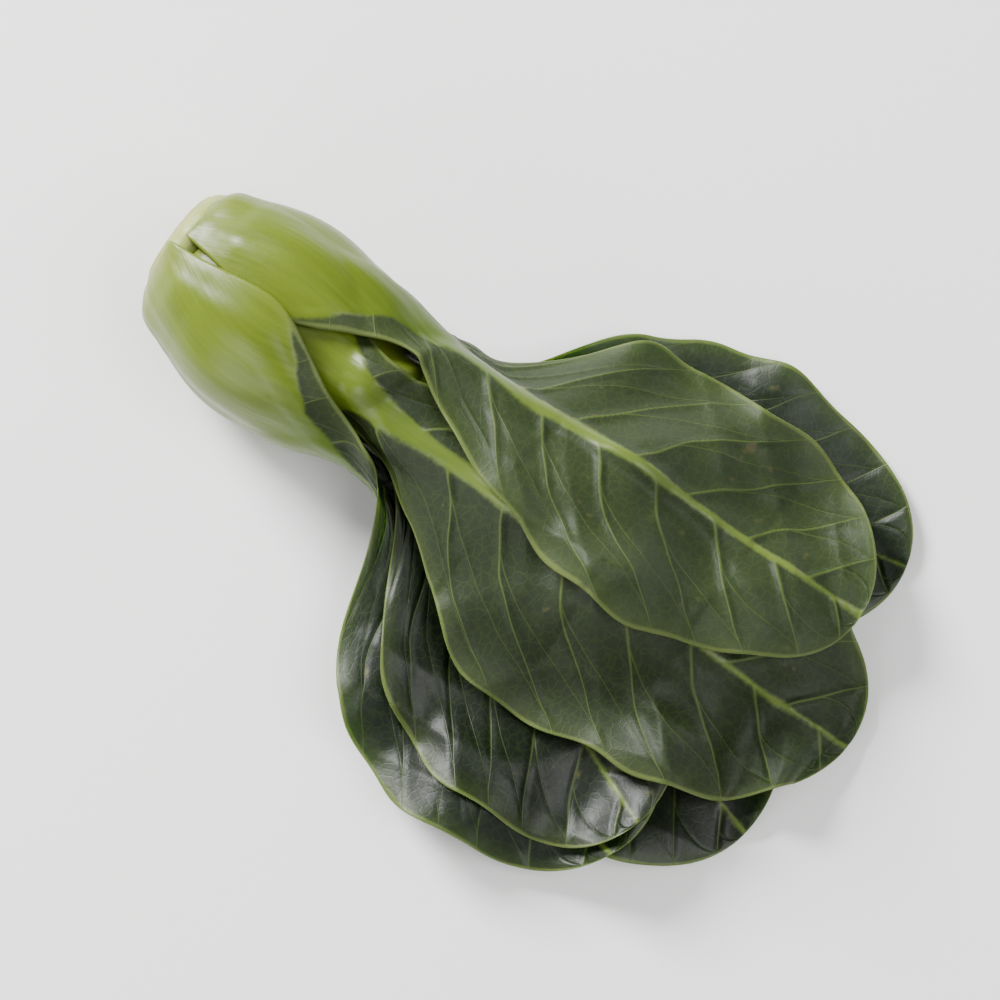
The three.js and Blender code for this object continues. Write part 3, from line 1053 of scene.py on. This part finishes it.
def strand_ends_tree(choice):
    """Sets small domes side by side in a ring, like the ends of strands in a cut stem."""
    tree, given = new_tree("Strand ends", {
        "Strands": choice.strand_count,
        "Ring radius": 0.005,
        "Strand size": choice.strand_size,
        "Seed": 3,
    })
    ring = add_node(tree, "GeometryNodeMeshCircle", Vertices=given["Strands"], Radius=given["Ring radius"])
    scatter = random_numbers(tree, *STRAND_SCATTER, given["Seed"])
    spot = tree.nodes.new("GeometryNodeInputPosition").outputs[0]
    moved = add_node(tree, "ShaderNodeVectorMath", {"operation": "SCALE"}, Vector=spot, Scale=scatter)
    spread = add_node(tree, "GeometryNodeSetPosition", Geometry=ring.outputs["Mesh"],
                      Position=moved.outputs[0])
    dome = add_node(tree, "GeometryNodeMeshIcoSphere", Radius=given["Strand size"], Subdivisions=2)
    flat = add_node(tree, "GeometryNodeTransform", Geometry=dome.outputs["Mesh"],
                    Scale=(1.0, 1.0, STRAND_FLATNESS))
    sizes = random_numbers(tree, *STRAND_SIZES, Field(tree, given["Seed"]) + 1.0)
    domes = add_node(tree, "GeometryNodeInstanceOnPoints", Points=spread.outputs[0],
                     Instance=flat.outputs[0], Scale=sizes)
    facing = add_node(tree, "GeometryNodeTransform", Geometry=domes.outputs[0],
                      Rotation=(0.0, math.pi / 2, 0.0))
    return end_tree(tree, facing.outputs[0], given["Material"])


def strand_material(choice):
    """Darker, moist strand ends."""
    material, tree, shader = new_material("stem strand ends")
    spot = tree.nodes.new("ShaderNodeTexCoord").outputs["Object"]
    drift = cloud(tree, spot, 900.0, 3.0)
    feed(shader.inputs["Base Color"], painted(tree, drift, choice.strand, choice.flesh))
    feed(shader.inputs["Roughness"], 0.3 + drift * 0.25)
    bumped(tree, shader, cloud(tree, spot, 4000.0), 0.0001, 0.5)
    return material


class PAKCHOY_OT_stem(bpy.types.Operator):
    """Makes the stem with its cut face, and the ring of strand ends in it"""

    bl_idname = "pakchoy.stem"
    bl_label = "Stem"

    def execute(self, context):
        choice = context.scene.pakchoy_stem
        points, rings, butt = stem_points()
        reach = np.hypot(points[:, 1], points[:, 2] - STEM_HEIGHT) * MM
        numbers = {"along": points[:, 0] * MM, "reach": reach}
        stem = new_piece("stem_finished", placed(points), stem_faces(rings), numbers)
        face_outwards(stem)
        stem.data.materials.append(stem_material(choice, butt))
        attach(stem, "root")
        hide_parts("stem")

        strands = new_piece("stem_strand_ends", np.zeros((1, 3)), [])
        grown(strands, strand_ends_tree(choice), {
            "Ring radius": STRAND_RING * butt * MM,
            "Material": strand_material(choice),
        })
        middle = placed(np.array([STRAND_STATION, 0.0, STEM_HEIGHT]))
        for vertex in strands.data.vertices:
            vertex.co += Vector(middle)
        strands.data.polygons.foreach_set("use_smooth", [True] * len(strands.data.polygons))
        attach(strands, "root")
        return {"FINISHED"}


def soft_lamp(name, place, aim, size, power):
    """A round area light that faces what it lights."""
    light = bpy.data.lights.new(name, "AREA")
    light.shape = "DISK"
    light.size = size
    light.energy = power
    lamp = bpy.data.objects.new(name, light)
    lamp.location = place
    lamp.rotation_euler = (Vector(aim) - Vector(place)).to_track_quat("-Z", "Y").to_euler()
    bpy.context.collection.objects.link(lamp)


class PAKCHOY_OT_stage(bpy.types.Operator):
    """Makes the floor, the soft lights and the camera"""

    bl_idname = "pakchoy.stage"
    bl_label = "Stage"

    def execute(self, context):
        choice = context.scene.pakchoy_stage
        low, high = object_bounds()
        middle = (low + high) / 2
        quarters = ((-1, -1, 0), (1, -1, 0), (1, 1, 0), (-1, 1, 0))
        corners = FLOOR_REACH * np.array(quarters)
        floor = new_piece("floor", corners, [(0, 1, 2, 3)])
        material, tree, shader = new_material("pale floor")
        shader.inputs["Base Color"].default_value = (*choice.floor, 1.0)
        shader.inputs["Roughness"].default_value = 0.7
        floor.data.materials.append(material)
        floor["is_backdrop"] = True

        heading = choice.heading
        right = Vector((math.cos(heading), math.sin(heading), 0))
        ahead = Vector((-math.sin(heading), math.cos(heading), 0))
        level = math.cos(choice.elevation)
        rise = math.sin(choice.elevation)
        eye = middle - ahead * (level * choice.distance) + Vector((0, 0, rise * choice.distance))
        camera = bpy.data.objects.new("camera", bpy.data.cameras.new("camera"))
        camera.data.lens = LENS
        camera.data.clip_start = 0.01
        camera.location = eye
        camera.rotation_euler = (middle - eye).to_track_quat("-Z", "Y").to_euler()
        bpy.context.collection.objects.link(camera)
        bpy.context.scene.camera = camera

        for name, aside, before, above, size, power in LAMPS:
            place = middle + right * aside + ahead * before + Vector((0, 0, above))
            soft_lamp(name, place, middle, size, power)
        world = bpy.data.worlds.new("soft room")
        world.use_nodes = True
        background = world.node_tree.nodes["Background"]
        background.inputs["Color"].default_value = (1.0, 1.0, 1.0, 1.0)
        background.inputs["Strength"].default_value = WORLD_LIGHT
        bpy.context.scene.world = world
        return {"FINISHED"}


GROUPS = (
    ("pakchoy_leaf_sizes", PakChoyLeafSizes),
    ("pakchoy_leaf_colours", PakChoyLeafColours),
    ("pakchoy_stem", PakChoyStem),
    ("pakchoy_stage", PakChoyStage),
)
OPERATORS = (PAKCHOY_OT_leaves, PAKCHOY_OT_stem, PAKCHOY_OT_stage)


class PAKCHOY_PT_panel(bpy.types.Panel):
    """Lists the pieces of the head and their sizes and colours"""

    bl_label = "Pak Choy"
    bl_idname = "PAKCHOY_PT_panel"
    bl_space_type = "VIEW_3D"
    bl_region_type = "UI"
    bl_category = "Pak Choy"

    def draw(self, context):
        for operator in OPERATORS:
            self.layout.operator(operator.bl_idname)
        for name, group in GROUPS:
            box = self.layout.box()
            for setting in group.__annotations__:
                box.prop(getattr(context.scene, name), setting)


CLASSES = tuple(group for _, group in GROUPS) + OPERATORS + (PAKCHOY_PT_panel,)


def register():
    for kind in CLASSES:
        bpy.utils.register_class(kind)
    for name, group in GROUPS:
        setattr(bpy.types.Scene, name, PointerProperty(type=group))


def unregister():
    for name, _ in GROUPS:
        delattr(bpy.types.Scene, name)
    for kind in reversed(CLASSES):
        bpy.utils.unregister_class(kind)


def main():
    register()
    bpy.ops.pakchoy.leaves()
    bpy.ops.pakchoy.stem()
    bpy.ops.pakchoy.stage()
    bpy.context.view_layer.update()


if __name__ == "__main__":
    main()
